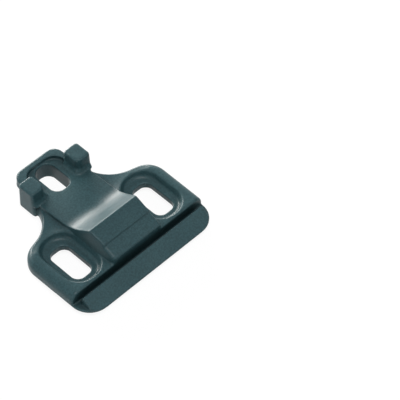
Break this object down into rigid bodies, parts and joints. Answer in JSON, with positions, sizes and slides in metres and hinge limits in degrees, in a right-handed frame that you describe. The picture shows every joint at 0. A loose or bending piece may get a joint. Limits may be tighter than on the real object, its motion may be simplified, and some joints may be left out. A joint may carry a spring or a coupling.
{
  "type": "clipless pedal cleat",
  "caption": "Moulded plastic cleat for a road cycling shoe: bolt slots in sunk pockets, a raised saddle block, front horns and a rear hook lip over a flat ribbed sole.",
  "frame": {"origin": "centre of the footprint on the flat shoe side, which rests on Z = 0", "axes": "+X across the width, +Y towards the nose of the shoe, +Z out of the shoe side towards the pedal"},
  "size_m": [0.0656, 0.0644, 0.0152],
  "materials": {
    "moulded_plastic": "satin, fine mould texture"
  },
  "bodies": {
    "root": {"cleat_body": "moulded_plastic"}
  },
  "joints": []
}
